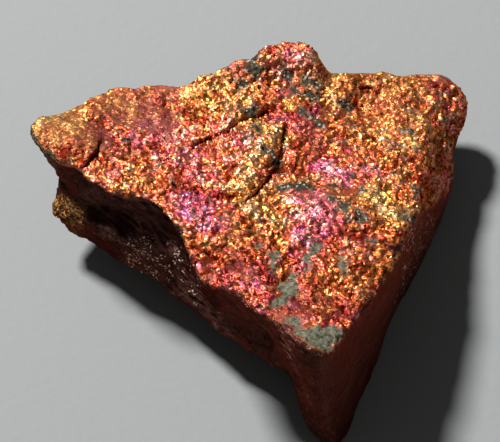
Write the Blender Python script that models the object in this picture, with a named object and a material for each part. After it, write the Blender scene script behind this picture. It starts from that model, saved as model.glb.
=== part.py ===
"""A rough chunk of peacock ore, broken from a vein: one solid stone.

Its top is one tilted fracture face, a triangle with a corner at the front, one at the left and a
rounded lobe at the right. The left front wall is hollowed under the rim, the right front wall drops
straight to the ground, and a narrow foot stands under the front corner. The underside curves down to
a flat spot, which the stone rests on.

All sizes here are in millimetres, with X to the right, Y to the back and Z up, measured from the tip
of the front foot. The finished stone is scaled to metres and centred over its origin.
"""

import math

import bmesh
import bpy
import numpy as np
from mathutils import Matrix, Vector, noise

MILLIMETRE = 0.001

# Driving sizes of the fracture face: its height over the front foot, and how it falls away.
FACE_HEIGHT = 19.9
FACE_FALL_TO_RIGHT = 0.084
FACE_FALL_TO_BACK = 0.224

# Plan point inside every outline, from which the walls are measured as rays.
HEART = np.array([-6.0, 24.0])

# The rim of the fracture face in plan, from the front corner round the right, back and left,
# with how far the rim stands above (or below) the plane of the face.
RIM = [
    (-1.6, 0.1, 0.0),
    (0.1, 1.6, 0.0),
    (2.2, 5.6, 0.0),
    (4.6, 10.0, 0.0),
    (7.0, 15.3, 0.0),
    (8.3, 19.2, 0.0),
    (9.6, 23.2, 0.0),
    (10.5, 28.1, 0.0),
    (10.9, 33.0, 0.0),
    (11.9, 38.2, 0.0),
    (13.7, 41.4, 0.1),
    (13.9, 43.0, 0.3),
    (12.3, 44.3, 0.5),
    (10.6, 44.0, 0.4),
    (8.9, 43.6, 0.2),
    (7.1, 44.1, 0.3),
    (4.4, 44.2, 0.6),
    (2.0, 43.5, 0.6),
    (0.5, 42.9, 1.0),
    (-0.9, 43.3, 2.5),
    (-1.8, 44.6, 3.3),
    (-3.2, 45.8, 3.8),
    (-5.3, 45.8, 3.8),
    (-6.7, 45.0, 3.4),
    (-8.9, 43.8, 3.1),
    (-11.7, 42.5, 2.2),
    (-14.2, 40.8, 1.3),
    (-15.8, 40.0, 0.6),
    (-17.8, 40.3, 0.1),
    (-21.2, 40.0, 0.0),
    (-23.6, 39.7, 0.0),
    (-25.4, 38.7, 0.0),
    (-28.2, 35.5, 0.0),
    (-31.0, 33.5, 0.0),
    (-32.3, 32.1, -0.2),
    (-32.2, 30.6, -0.4),
    (-31.3, 28.8, -0.4),
    (-29.6, 26.8, -0.2),
    (-26.2, 23.4, 0.0),
    (-23.8, 21.8, 0.0),
    (-20.3, 21.1, 0.0),
    (-17.9, 18.9, 0.0),
    (-16.1, 15.6, 0.1),
    (-15.4, 12.8, 0.1),
    (-12.8, 9.9, 0.0),
    (-9.6, 7.1, 0.0),
    (-6.3, 4.1, 0.0),
    (-3.9, 1.0, 0.0),
]

# The neck under the rim: plan position and height over the ground. It bulges out on the right, where
# the edge of the face is broken away, and is hollow on the left.
NECK = [
    (-1.5, 0.1, 13.6),
    (0.3, 1.7, 13.2),
    (2.9, 6.0, 12.6),
    (5.4, 10.8, 11.6),
    (7.8, 16.6, 10.6),
    (9.9, 22.6, 9.6),
    (11.6, 27.6, 9.0),
    (13.2, 32.4, 8.2),
    (14.4, 36.0, 7.9),
    (16.0, 38.8, 7.8),
    (16.5, 40.8, 7.8),
    (15.9, 42.8, 7.8),
    (14.0, 44.0, 7.6),
    (11.6, 44.3, 7.4),
    (8.9, 43.7, 7.2),
    (4.4, 44.0, 8.0),
    (0.6, 43.2, 8.6),
    (-2.4, 45.0, 10.6),
    (-5.6, 45.2, 11.2),
    (-9.5, 43.2, 11.2),
    (-14.2, 40.4, 10.6),
    (-18.0, 39.7, 10.2),
    (-23.0, 38.9, 10.4),
    (-27.2, 35.4, 11.2),
    (-30.4, 33.2, 12.4),
    (-31.4, 31.0, 12.4),
    (-30.2, 28.8, 12.2),
    (-27.2, 27.0, 13.0),
    (-23.2, 25.8, 13.4),
    (-19.6, 24.4, 13.4),
    (-16.4, 22.2, 13.4),
    (-14.4, 18.6, 13.8),
    (-13.6, 14.6, 14.2),
    (-11.8, 11.4, 14.4),
    (-9.2, 8.4, 14.4),
    (-6.4, 5.2, 14.4),
    (-4.2, 2.2, 14.2),
]

# The ledge lower on the walls, in the same way. It stands out on the left, down to a knob at the
# left end.
LEDGE = [
    (-1.0, 0.1, 6.4),
    (0.8, 1.6, 6.2),
    (3.6, 7.6, 6.0),
    (6.9, 15.4, 5.6),
    (10.2, 23.2, 5.2),
    (12.7, 28.4, 4.9),
    (14.2, 32.4, 4.9),
    (14.3, 35.6, 5.0),
    (15.2, 38.2, 5.4),
    (15.6, 40.6, 5.6),
    (14.4, 42.6, 5.6),
    (11.2, 42.9, 5.4),
    (6.4, 42.2, 5.0),
    (1.0, 41.6, 5.4),
    (-3.8, 43.4, 6.4),
    (-10.8, 41.8, 6.6),
    (-16.4, 38.9, 6.4),
    (-22.6, 37.4, 6.8),
    (-27.4, 33.8, 7.4),
    (-30.2, 30.4, 8.4),
    (-30.8, 28.3, 8.6),
    (-29.0, 26.5, 8.9),
    (-27.2, 24.6, 8.9),
    (-24.5, 21.8, 9.2),
    (-21.2, 19.8, 10.2),
    (-18.5, 18.8, 10.6),
    (-16.1, 17.6, 10.8),
    (-14.0, 15.0, 10.4),
    (-12.0, 12.9, 9.9),
    (-9.8, 11.0, 9.8),
    (-7.6, 8.8, 10.2),
    (-5.4, 6.0, 10.2),
    (-4.2, 4.0, 9.0),
]

# The lower edge of the walls, in the same way. It reaches the ground all along the right front wall,
# and hangs clear of it on the left. What is below 0 is cut away.
LOWER_EDGE = [
    (-0.3, 0.2, -0.4),
    (1.3, 1.5, -0.4),
    (4.3, 9.3, -0.4),
    (7.2, 17.2, -0.4),
    (11.1, 25.1, -0.2),
    (13.5, 30.6, 0.4),
    (14.0, 34.6, 1.6),
    (14.4, 38.0, 2.4),
    (13.0, 40.6, 2.8),
    (8.4, 40.2, 2.4),
    (2.0, 39.4, 2.2),
    (-4.0, 41.0, 2.8),
    (-11.0, 38.4, 3.0),
    (-18.0, 36.4, 3.4),
    (-24.6, 34.0, 4.4),
    (-29.0, 30.4, 5.4),
    (-30.7, 27.9, 5.4),
    (-29.3, 25.7, 4.3),
    (-26.8, 24.6, 4.0),
    (-24.7, 23.0, 4.1),
    (-20.0, 19.0, 5.0),
    (-15.5, 14.5, 6.0),
    (-11.9, 11.7, 6.0),
    (-9.2, 9.7, 6.0),
    (-6.8, 7.2, 6.4),
    (-4.1, 6.2, 6.6),
    (-3.6, 4.5, 3.6),
    (-2.3, 2.3, 1.0),
]

# The flat spot under the stone, in plan, and how much stone is cut away under it.
FLAT_SPOT_CUT = 1.1
FLAT_SPOT = [
    (0.2, 1.6),
    (2.3, 5.6),
    (6.2, 15.4),
    (9.2, 22.6),
    (9.4, 28.0),
    (4.6, 32.0),
    (-3.0, 32.8),
    (-10.4, 30.6),
    (-14.2, 26.6),
    (-11.8, 22.0),
    (-6.0, 15.4),
    (-2.5, 8.4),
    (-1.3, 3.4),
]

# How finely the outlines are joined: rays round the heart, and rings as shares of the way across.
RAYS = 220
FACE_RINGS = [0.14, 0.28, 0.42, 0.55, 0.67, 0.78, 0.87, 0.94, 0.985, 1.0]
WALL_RINGS = [0.12, 0.3, 0.5, 0.7, 0.88, 1.0]
UNDERSIDE_RINGS = [0.3, 0.6, 0.85, 1.0]
FLAT_SPOT_RINGS = [0.66, 0.33]

# Strokes that shape the plain body: where, how wide (along X, Y and Z), and which way they push.
STROKES = [
    # The hollow in the left front wall: its deep end and its floor, and the notch at its left end.
    ((-17.0, 20.0, 13.4), (3.0, 3.4, 2.2), (1.5, 1.8, 0.0)),
    ((-23.2, 23.6, 11.2), (2.4, 2.4, 1.8), (0.4, 0.5, -1.0)),
    ((-30.4, 29.4, 10.6), (2.2, 2.6, 1.2), (1.5, 0.5, 0.0)),
    # The slot by the front foot, and the hollow above it.
    ((-7.4, 8.0, 7.6), (0.8, 1.4, 2.6), (1.1, 1.5, 0.0)),
    ((-9.4, 8.0, 13.0), (3.2, 2.4, 2.2), (0.4, 0.5, 0.0)),
    # The back hump leans over its steep right side.
    ((-3.4, 44.6, 13.4), (2.8, 2.4, 2.6), (0.4, 0.2, 0.6)),
    # Hollows and swells of the fracture face.
    ((-18.0, 35.0, 12.6), (5.5, 3.8, 4.0), (0.0, 0.0, -0.8)),
    ((-28.0, 30.4, 15.0), (3.6, 3.0, 4.0), (0.0, 0.0, 0.7)),
    ((-9.6, 29.4, 13.8), (3.4, 4.6, 4.0), (0.0, 0.0, 0.9)),
    ((-4.4, 39.2, 11.9), (2.6, 2.8, 4.0), (0.0, 0.0, -0.5)),
    ((3.4, 37.8, 11.0), (2.2, 2.6, 4.0), (0.0, 0.0, -0.7)),
    ((8.4, 36.6, 11.0), (2.6, 4.2, 4.0), (0.0, 0.0, 0.4)),
    ((-13.0, 18.5, 16.6), (3.6, 3.6, 4.0), (0.0, 0.0, 0.6)),
    ((-14.4, 24.0, 15.6), (4.4, 1.6, 4.0), (0.0, 0.0, -0.4)),
    ((1.5, 21.5, 15.3), (3.4, 4.6, 4.0), (0.0, 0.0, 0.5)),
    ((-4.6, 13.0, 17.6), (2.2, 4.6, 4.0), (0.0, 0.0, -0.6)),
    ((-1.6, 27.0, 13.9), (2.6, 2.6, 4.0), (0.0, 0.0, -0.5)),
    ((0.4, 4.6, 18.7), (2.0, 3.0, 3.0), (0.0, 0.0, -0.3)),
    # Hollows and ledges of the back wall.
    ((-22.0, 37.8, 9.0), (4.0, 3.4, 1.8), (0.5, -1.5, 0.0)),
    ((-15.0, 39.4, 6.2), (4.2, 3.2, 1.4), (-0.3, 1.3, 0.3)),
    ((2.6, 43.0, 7.6), (3.4, 2.6, 1.6), (0.0, -1.5, 0.0)),
    ((-5.0, 43.6, 7.8), (3.2, 2.6, 1.6), (0.0, 0.9, 0.3)),
    ((10.4, 42.6, 4.8), (3.0, 2.4, 1.4), (0.3, 0.9, 0.0)),
    ((-27.8, 34.0, 9.4), (2.4, 2.4, 1.6), (0.9, -0.8, 0.0)),
]

# Grooves of the fracture face, each along a line in plan: its points, width, depth and the lift of
# the ledge on its left side, seen from its first point. A ledge is three times as wide as its groove.
LEDGE_WIDTH = 3
GROOVES = [
    ([(-26.0, 26.9), (-25.2, 27.9), (-25.0, 30.2)], 0.6, 0.5, 0.5),
    ([(-14.8, 30.2), (-12.9, 31.4), (-10.2, 33.8), (-8.5, 35.3), (-6.3, 36.6)], 0.5, 0.5, 0.5),
    ([(-8.9, 22.2), (-7.0, 25.2), (-5.7, 27.6), (-5.5, 30.6), (-5.0, 32.8)], 0.5, 0.8, 0.5),
    ([(-17.1, 23.3), (-15.2, 22.6), (-12.4, 22.5), (-10.1, 22.4)], 0.6, 0.5, 0.4),
    ([(0.1, 33.9), (1.2, 33.0), (2.9, 32.4)], 0.5, 0.5, 0.3),
    ([(3.2, 39.9), (4.4, 40.8), (6.0, 39.8)], 0.6, 0.7, 0.5),
    ([(1.6, 18.7), (3.1, 18.4), (4.4, 17.8)], 0.5, 0.4, 0.3),
]

# Relief: the size of each kind of unevenness and how far it moves the surface. Lumps and grain carry
# finer ones of their own kind, each layer half as big as the last.
SWELL_SIZE, SWELL_DEPTH = 9.0, 0.3
LUMP_SIZE, LUMP_DEPTH, LUMP_LAYERS = 3.4, 0.3, 3
GRAIN_SIZE, GRAIN_DEPTH, GRAIN_LAYERS = 1.5, 0.15, 2
LAYER_FADE, LAYER_FINER = 0.8, 2.0

# Flat chips, and the shifts at which noise is read for the three parts of each chip's lean.
CHIP_SIZE, CHIP_TILT = 4.4, 0.18
LEAN_SHIFTS = [(12.4, -1.5, -8.0), (3.1, 1.7, 9.2), (-7.8, 5.6, 2.3)]
LEAN_SPREAD = 7.3

# Grain of the walls is drawn out into splinters along the left front wall.
ALONG_SPLINTER, ACROSS_SPLINTER, UP_SPLINTER = 0.25, 1.0, 1.5

# The right front wall broke along one plane, and is smoother than the rest.
SMOOTH_WALL_FACES = np.array([0.88, -0.47, 0.0])
SMOOTH_WALL = 0.55

# How far up a normal points, out of 1, where the fracture face ends and where a wall begins.
FACE_ENDS, WALL_BEGINS = 0.85, 0.45

# Grid of the even mesh before and after carving, and how many triangles are kept of it.
BODY_VOXEL = 0.5
CARVED_VOXEL = 0.42
KEPT_TRIANGLES = 8600


def smooth_loop(corners, steps=8):
    """A closed curve through the corners, with a few points between each two of them."""
    loop = np.array(corners, float)
    count = len(loop)
    curve = []
    for i in range(count):
        before, start, end, after = (loop[(i + k) % count] for k in (-1, 0, 1, 2))
        for step in range(steps):
            t = step / steps
            bend = 2 * start + (end - before) * t
            bend = bend + (2 * before - 5 * start + 4 * end - after) * t**2
            bend = bend + (3 * start - before - 3 * end + after) * t**3
            curve.append(bend / 2)
    return np.array(curve)


def along_rays(curve):
    """Where each ray from the heart meets a closed curve: its reach and the curve's third value."""
    offset = curve[:, :2] - HEART
    angle = np.arctan2(offset[:, 1], offset[:, 0])
    reach = np.hypot(offset[:, 0], offset[:, 1])
    extra = curve[:, 2] if curve.shape[1] > 2 else np.zeros(len(curve))
    order = np.argsort(angle)
    rays = np.linspace(-math.pi, math.pi, RAYS, endpoint=False)
    turn = 2 * math.pi
    return (
        np.interp(rays, angle[order], reach[order], period=turn),
        np.interp(rays, angle[order], extra[order], period=turn),
    )


def face_plane(x, y):
    """Height of the tilted plane of the fracture face over a plan point."""
    return FACE_HEIGHT - FACE_FALL_TO_RIGHT * x - FACE_FALL_TO_BACK * y


def body_rings():
    """Rings of points that wrap the plain body, from the middle of its face to its underside."""
    rays = np.linspace(-math.pi, math.pi, RAYS, endpoint=False)
    way = np.stack([np.cos(rays), np.sin(rays)], axis=1)
    rim_reach, rim_lift = along_rays(smooth_loop(RIM))
    flat_reach, _ = along_rays(smooth_loop(FLAT_SPOT))

    def ring(reach, height):
        return np.column_stack([HEART + way * reach[:, None], height])

    def face_height(share):
        plan = HEART + way * (rim_reach * share)[:, None]
        return face_plane(plan[:, 0], plan[:, 1]) + rim_lift * share**3

    rings = [ring(rim_reach * share, face_height(share)) for share in FACE_RINGS]
    reach, height = rim_reach, face_height(1.0)
    for outline in (NECK, LEDGE, LOWER_EDGE):
        next_reach, next_height = along_rays(smooth_loop(outline))
        for share in WALL_RINGS:
            between = reach + (next_reach - reach) * share
            rings.append(ring(between, height + (next_height - height) * share))
        reach, height = next_reach, next_height
    for share in UNDERSIDE_RINGS:
        between = reach + (flat_reach - reach) * share
        rings.append(ring(between, height * (1 - share) ** 1.5 - FLAT_SPOT_CUT * share))
    for share in FLAT_SPOT_RINGS:
        rings.append(ring(flat_reach * share, np.full(RAYS, -FLAT_SPOT_CUT)))
    return rings


def wrapped_body():
    """The plain body as one closed mesh: a circle extruded from ring to ring and closed at each end."""
    rings = body_rings()
    bm = bmesh.new()
    first = bmesh.ops.create_circle(bm, segments=RAYS, radius=1.0)["verts"]
    last, edges = first, list(bm.edges)
    for number, ring in enumerate(rings):
        if number:
            made = bmesh.ops.extrude_edge_only(bm, edges=edges)["geom"]
            last = [item for item in made if isinstance(item, bmesh.types.BMVert)]
            fresh = set(last)
            edges = [item for item in made if isinstance(item, bmesh.types.BMEdge)]
            edges = [edge for edge in edges if fresh.issuperset(edge.verts)]
        for vert, point in zip(last, ring, strict=True):
            vert.co = point
    bmesh.ops.contextual_create(bm, geom=first)
    bmesh.ops.contextual_create(bm, geom=last)
    bmesh.ops.triangulate(bm, faces=bm.faces)
    bmesh.ops.recalc_face_normals(bm, faces=bm.faces)
    return bm


def pushed(points):
    """Points moved by the soft strokes, each strongest at its middle."""
    moved = points.copy()
    for middle, width, push in STROKES:
        away = (points - np.array(middle)) / np.array(width)
        strength = np.exp(-np.sum(away**2, axis=1))
        moved += strength[:, None] * np.array(push)
    return moved


def side_of_line(plan, line):
    """Distance of plan points from an open line, and 1 on its left side or 0 on its right."""
    nearest = np.full(len(plan), np.inf)
    side = np.ones(len(plan))
    for start, end in zip(line[:-1], line[1:], strict=True):
        start, end = np.array(start), np.array(end)
        run = end - start
        share = np.clip(((plan - start) @ run) / (run @ run), 0, 1)
        away = plan - (start + share[:, None] * run)
        distance = np.hypot(away[:, 0], away[:, 1])
        closer = distance < nearest
        nearest = np.where(closer, distance, nearest)
        turn_left = run[0] * away[:, 1] > run[1] * away[:, 0]
        side = np.where(closer, turn_left, side)
    return nearest, side


def grooved(points, facing_up):
    """Points of the fracture face sunk along its grooves, with a ledge on one side of each."""
    moved = points.copy()
    for line, width, depth, lift in GROOVES:
        distance, side = side_of_line(points[:, :2], line)
        cut = depth * np.exp(-((distance / width) ** 2))
        ledge = lift * np.exp(-((distance / (LEDGE_WIDTH * width)) ** 2)) * side
        moved[:, 2] += (ledge - cut) * facing_up
    return moved


def chip_lean(point):
    """How far the flat chip at this point leans out there: each chip has its own random lean."""
    middle = noise.voronoi(point / CHIP_SIZE)[1][0]
    lean = Vector(noise.noise(middle * LEAN_SPREAD + Vector(shift)) for shift in LEAN_SHIFTS)
    return (point - middle * CHIP_SIZE).dot(lean)


def layered(point, size, layers):
    return noise.fractal(point / size, LAYER_FADE, LAYER_FINER, layers)


def relief(point, wall):
    """How far the stone's unevenness stands out at a point, from the face (0) to a wall (1)."""
    across, along = point.x + point.y, point.x - point.y
    splinter = Vector((across * ACROSS_SPLINTER, along * ALONG_SPLINTER, point.z * UP_SPLINTER))
    swell = noise.noise(point / SWELL_SIZE) * SWELL_DEPTH
    grain = layered(point.lerp(splinter, wall), GRAIN_SIZE, GRAIN_LAYERS) * GRAIN_DEPTH
    lump = layered(point, LUMP_SIZE, LUMP_LAYERS) * LUMP_DEPTH
    return (swell + grain) * (1 + wall) + lump + chip_lean(point) * CHIP_TILT


def stone_material():
    """Tarnished copper ore: metallic, dull orange to crimson."""
    material = bpy.data.materials.new("tarnished_ore")
    material.use_nodes = True
    shader = material.node_tree.nodes["Principled BSDF"]
    shader.inputs["Base Color"].default_value = (0.42, 0.13, 0.06, 1.0)
    shader.inputs["Metallic"].default_value = 0.85
    shader.inputs["Roughness"].default_value = 0.42
    return material


def applied(stone):
    """Gives the stone the mesh that its modifiers make of it."""
    graph = bpy.context.evaluated_depsgraph_get()
    fresh = bpy.data.meshes.new_from_object(stone.evaluated_get(graph))
    stone.modifiers.clear()
    stone.data = fresh


def even_mesh(stone, voxel):
    even = stone.modifiers.new("even mesh", "REMESH")
    even.mode = "VOXEL"
    even.voxel_size = voxel
    applied(stone)


def fewer_faces(stone, triangles):
    fewer = stone.modifiers.new("fewer faces", "DECIMATE")
    stone.data.calc_loop_triangles()
    fewer.ratio = triangles / len(stone.data.loop_triangles)
    applied(stone)


def points_and_normals(mesh):
    count = len(mesh.vertices) * 3
    points, normals = np.empty(count), np.empty(count)
    mesh.vertices.foreach_get("co", points)
    mesh.vertices.foreach_get("normal", normals)
    return points.reshape(-1, 3), normals.reshape(-1, 3)


def move_points(mesh, points):
    mesh.vertices.foreach_set("co", points.ravel())
    mesh.update()


def walls(normals):
    """How much of a wall each point is: 0 where the stone faces up, 1 where it is steep."""
    return np.clip((FACE_ENDS - normals[:, 2]) / (FACE_ENDS - WALL_BEGINS), 0, 1)


def carve(stone):
    """Strokes, grooves and relief on the evenly meshed body."""
    points, _ = points_and_normals(stone.data)
    move_points(stone.data, pushed(points))
    points, normals = points_and_normals(stone.data)
    move_points(stone.data, grooved(points, 1 - walls(normals)))
    points, normals = points_and_normals(stone.data)
    smooth = SMOOTH_WALL * np.clip(normals @ SMOOTH_WALL_FACES, 0, 1)
    height = [relief(Vector(at), wall) for at, wall in zip(points, walls(normals), strict=True)]
    move_points(stone.data, points + normals * (height * (1 - smooth))[:, None])


def drop_crumbs(stone):
    """Deletes the crumbs that carving left loose, and keeps the largest body."""
    bm = bmesh.new()
    bm.from_mesh(stone.data)
    rest = set(bm.verts)
    bodies = []
    while rest:
        body = set()
        front = {next(iter(rest))}
        while front:
            body |= front
            front = {edge.other_vert(vert) for vert in front for edge in vert.link_edges} - body
        rest -= body
        bodies.append(body)
    stays = max(bodies, key=len)
    crumbs = [vert for vert in bm.verts if vert not in stays]
    bmesh.ops.delete(bm, geom=crumbs, context="VERTS")
    bm.to_mesh(stone.data)
    bm.free()


def cut_flat_spot(stone):
    """A level cut across the lowest part of the stone, which it rests on."""
    bm = bmesh.new()
    bm.from_mesh(stone.data)
    everything = list(bm.verts) + list(bm.edges) + list(bm.faces)
    up = Vector((0, 0, 1))
    bmesh.ops.bisect_plane(bm, geom=everything, plane_co=up * 0, plane_no=up, clear_inner=True)
    open_edges = [edge for edge in bm.edges if edge.is_boundary]
    bmesh.ops.holes_fill(bm, edges=open_edges)
    bmesh.ops.triangulate(bm, faces=[face for face in bm.faces if len(face.verts) > 3])
    bm.to_mesh(stone.data)
    bm.free()


def centre_in_metres(stone):
    """Scales the stone to metres, with its base at height 0 and the middle of its box over the origin."""
    points, _ = points_and_normals(stone.data)
    low, high = points.min(axis=0), points.max(axis=0)
    middle = Vector(((low[0] + high[0]) / 2, (low[1] + high[1]) / 2, low[2]))
    stone.data.transform(Matrix.Scale(MILLIMETRE, 4) @ Matrix.Translation(-middle))


def peacock_ore():
    """The stone: its outlines wrapped, carved, cut flat below and given its material."""
    mesh = bpy.data.meshes.new("peacock_ore")
    body = wrapped_body()
    body.to_mesh(mesh)
    body.free()
    stone = bpy.data.objects.new("peacock_ore", mesh)
    bpy.context.collection.objects.link(stone)

    even_mesh(stone, BODY_VOXEL)
    carve(stone)
    even_mesh(stone, CARVED_VOXEL)
    fewer_faces(stone, KEPT_TRIANGLES)
    drop_crumbs(stone)
    cut_flat_spot(stone)
    centre_in_metres(stone)
    stone.data.materials.clear()
    stone.data.materials.append(stone_material())
    return stone


for old in list(bpy.data.objects):
    bpy.data.objects.remove(old)
peacock_ore()
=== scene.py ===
import math

import bmesh
import bpy
import numpy as np
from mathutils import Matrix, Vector, kdtree, noise


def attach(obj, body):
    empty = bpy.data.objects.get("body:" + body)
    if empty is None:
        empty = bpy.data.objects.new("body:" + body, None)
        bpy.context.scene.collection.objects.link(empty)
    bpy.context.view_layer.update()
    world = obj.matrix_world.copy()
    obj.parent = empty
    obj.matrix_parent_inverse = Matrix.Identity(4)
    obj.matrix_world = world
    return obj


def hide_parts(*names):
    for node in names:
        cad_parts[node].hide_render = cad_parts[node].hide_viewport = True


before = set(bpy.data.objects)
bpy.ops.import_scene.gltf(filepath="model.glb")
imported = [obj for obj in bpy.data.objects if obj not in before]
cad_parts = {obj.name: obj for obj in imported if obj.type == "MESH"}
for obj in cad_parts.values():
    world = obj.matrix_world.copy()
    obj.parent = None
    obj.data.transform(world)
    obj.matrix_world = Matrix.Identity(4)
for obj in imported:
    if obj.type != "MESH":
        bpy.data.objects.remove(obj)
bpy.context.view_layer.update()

# The skin of the stone
# A wedge of massive copper ore, broken out of its vein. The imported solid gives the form. It
# gets a much finer skin here, worked in millimetres, with the smallest faces on the fracture
# face, where the crystal grain is cut in.
TO_MILLIMETRES = 1000.0
SKIN_STEP = 0.35
SOFTENING_ROUNDS = 2
SOFTENING = 0.5
# Points of the solid closer than this, in metres, are one.
SAME_POINT = 1e-7
# The plane of the fracture face: its height over the origin, and its fall to the right and back.
FACE_HEIGHT = 15.511
FACE_FALL = (0.084, 0.224)
# Faces that lie no deeper than this under the plane, and no steeper, carry crystals.
CRYSTALS_END = 6.6
STEEPEST = 0.30
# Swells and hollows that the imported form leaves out: both ends of a streak, how far its pull
# reaches, and the pull.
SWELLS = [
    ((-9.8, 16.7, 12.2), (-2.6, 18.9, 13.3), 1.8, (0.0, 0.45, 0.32)),
    ((10.1, 19.2, 10.9), (15.7, 19.7, 9.9), 1.8, (0.0, 0.55, 0.38)),
    ((6.5, 20.7, 13.3), (7.2, 19.9, 12.6), 1.4, (0.15, 0.60, 0.42)),
    ((3.0, 21.8, 13.7), (3.8, 21.8, 13.7), 1.4, (0.0, 0.25, 0.18)),
    ((-20.6, 11.6, 15.0), (-17.3, 14.1, 14.0), 1.6, (0.0, -0.30, -0.20)),
    ((-23.7, 7.3, 13.4), (-22.9, 6.1, 12.8), 1.3, (0.45, 0.10, 0.05)),
    ((-23.3, 6.5, 13.1), (-22.9, 6.1, 12.8), 0.9, (0.60, 0.10, 0.05)),
    ((-22.7, 7.2, 8.9), (-22.8, 6.6, 8.9), 0.9, (0.40, 0.0, 0.0)),
    ((-22.7, 5.6, 7.8), (-22.6, 5.2, 7.3), 0.8, (-0.35, 0.0, 0.0)),
    ((-21.2, 3.3, 4.7), (-20.6, 2.9, 4.4), 1.1, (0.15, 0.10, 0.05)),
    ((-22.3, 5.4, 8.9), (-21.8, 5.1, 8.6), 2.4, (0.50, -1.60, -1.15)),
    ((-24.2, 8.9, 15.4), (-24.0, 8.9, 15.0), 1.6, (-0.25, 0.0, 0.0)),
    ((21.7, 20.4, 9.4), (23.1, 19.8, 8.6), 1.5, (0.20, 0.15, 0.10)),
    ((18.2, 20.7, 10.0), (21.0, 20.6, 9.5), 1.0, (0.05, 0.32, 0.22)),
    ((14.6, 21.0, 9.7), (15.0, 21.0, 9.6), 0.7, (0.0, 0.35, 0.25)),
    ((16.6, 21.0, 9.4), (16.8, 21.0, 9.4), 0.7, (0.0, -0.30, -0.20)),
    ((-2.5, 19.3, 13.6), (-1.8, 19.4, 13.6), 0.8, (0.0, -0.28, -0.20)),
    ((11.9, 17.6, 10.6), (13.0, 17.0, 10.5), 1.2, (0.0, -0.10, 0.35)),
    ((-4.8, -11.6, 17.9), (-4.0, -12.4, 18.1), 1.2, (-0.30, -0.80, 0.0)),
]
# How far points shift along the surface, as a share of the step, so that no grid shows.
SHIFT = 0.32
# How far a part of the bake's map may bend, in radians, and the margin between its parts.
MAP_BEND = 1.15
MAP_MARGIN = 0.003
dice = np.random.default_rng(29)


def under_face(points):
    """How far points lie under the plane of the fracture face."""
    plane = FACE_HEIGHT - FACE_FALL[0] * points[:, 0] - FACE_FALL[1] * points[:, 1]
    return plane - points[:, 2]


def ramp(values, low, high):
    """0 up to low, 1 from high on, and a smooth rise between."""
    share = np.clip((values - low) / (high - low), 0.0, 1.0)
    return share * share * (3.0 - 2.0 * share)


def from_streak(places, start, end, reach):
    """Distance of places from a streak's middle line, as a share of its reach."""
    start = np.array(start)
    way = np.array(end) - start
    along = np.clip((places - start) @ way / max(way @ way, 1e-9), 0.0, 1.0)
    return np.linalg.norm(places - start - along[:, None] * way, axis=1) / reach


def even_skin(solid):
    """The solid's surface with faces of one size."""
    shell = bmesh.new()
    shell.from_mesh(solid.data)
    bmesh.ops.remove_doubles(shell, verts=shell.verts, dist=SAME_POINT)
    bmesh.ops.scale(shell, vec=Vector((TO_MILLIMETRES,) * 3), verts=shell.verts)
    mesh = bpy.data.meshes.new("packed_form")
    shell.to_mesh(mesh)
    shell.free()
    form = bpy.data.objects.new("packed_form", mesh)
    bpy.context.scene.collection.objects.link(form)
    finer = form.modifiers.new("finer", "REMESH")
    finer.mode = "VOXEL"
    finer.voxel_size = SKIN_STEP
    view = bpy.context.evaluated_depsgraph_get()
    skin = bpy.data.meshes.new_from_object(form.evaluated_get(view))
    bpy.data.objects.remove(form)
    bpy.data.meshes.remove(mesh)
    return skin


def read_points(mesh):
    points = np.empty(len(mesh.vertices) * 3)
    mesh.vertices.foreach_get("co", points)
    return points.reshape(-1, 3)


def write_points(mesh, points):
    mesh.vertices.foreach_set("co", points.astype(np.float32).ravel())
    mesh.update()


def read_normals(mesh):
    normals = np.empty(len(mesh.vertices) * 3)
    mesh.vertices.foreach_get("normal", normals)
    return normals.reshape(-1, 3)


def read_edges(mesh):
    ends = np.empty(len(mesh.edges) * 2, dtype=np.int32)
    mesh.edges.foreach_get("vertices", ends)
    return ends.reshape(-1, 2)


skin = even_skin(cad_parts["peacock_ore"])
work = bmesh.new()
work.from_mesh(skin)
for _ in range(SOFTENING_ROUNDS):
    bmesh.ops.smooth_vert(
        work,
        verts=work.verts,
        factor=SOFTENING,
        use_axis_x=True,
        use_axis_y=True,
        use_axis_z=True,
    )
softened = np.array([point.co for point in work.verts])
pull = np.zeros_like(softened)
for start, end, reach, way in SWELLS:
    pull += np.exp(-(from_streak(softened, start, end, reach) ** 2))[:, None] * np.array(way)
for point, place in zip(work.verts, softened + pull):
    point.co = place
work.normal_update()
centres = np.array([face.calc_center_median() for face in work.faces])
steep = np.array([face.normal.z for face in work.faces])
depth = under_face(centres)
crystal_faces = [
    face for face, wanted in zip(work.faces, (steep > STEEPEST) & (depth < CRYSTALS_END)) if wanted
]
crystal_edges = list({edge for face in crystal_faces for edge in face.edges})
bmesh.ops.subdivide_edges(work, edges=crystal_edges, cuts=1, use_grid_fill=True)
work.to_mesh(skin)
work.free()

points = read_points(skin)
normals = read_normals(skin)
edges = read_edges(skin)
lengths = np.linalg.norm(points[edges[:, 0]] - points[edges[:, 1]], axis=1)
shortest = np.full(len(points), SKIN_STEP)
np.minimum.at(shortest, edges[:, 0], lengths)
np.minimum.at(shortest, edges[:, 1], lengths)
shift = dice.uniform(-1.0, 1.0, points.shape) * (shortest * SHIFT)[:, None]
shift -= normals * (shift * normals).sum(axis=1)[:, None]
write_points(skin, points + shift)
work = bmesh.new()
work.from_mesh(skin)
bmesh.ops.triangulate(work, faces=work.faces, quad_method="SHORT_EDGE")
work.to_mesh(skin)
work.free()
skin.name = "peacock_ore_skin"
ore = bpy.data.objects.new("peacock_ore_skin", skin)
bpy.context.scene.collection.objects.link(ore)

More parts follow.
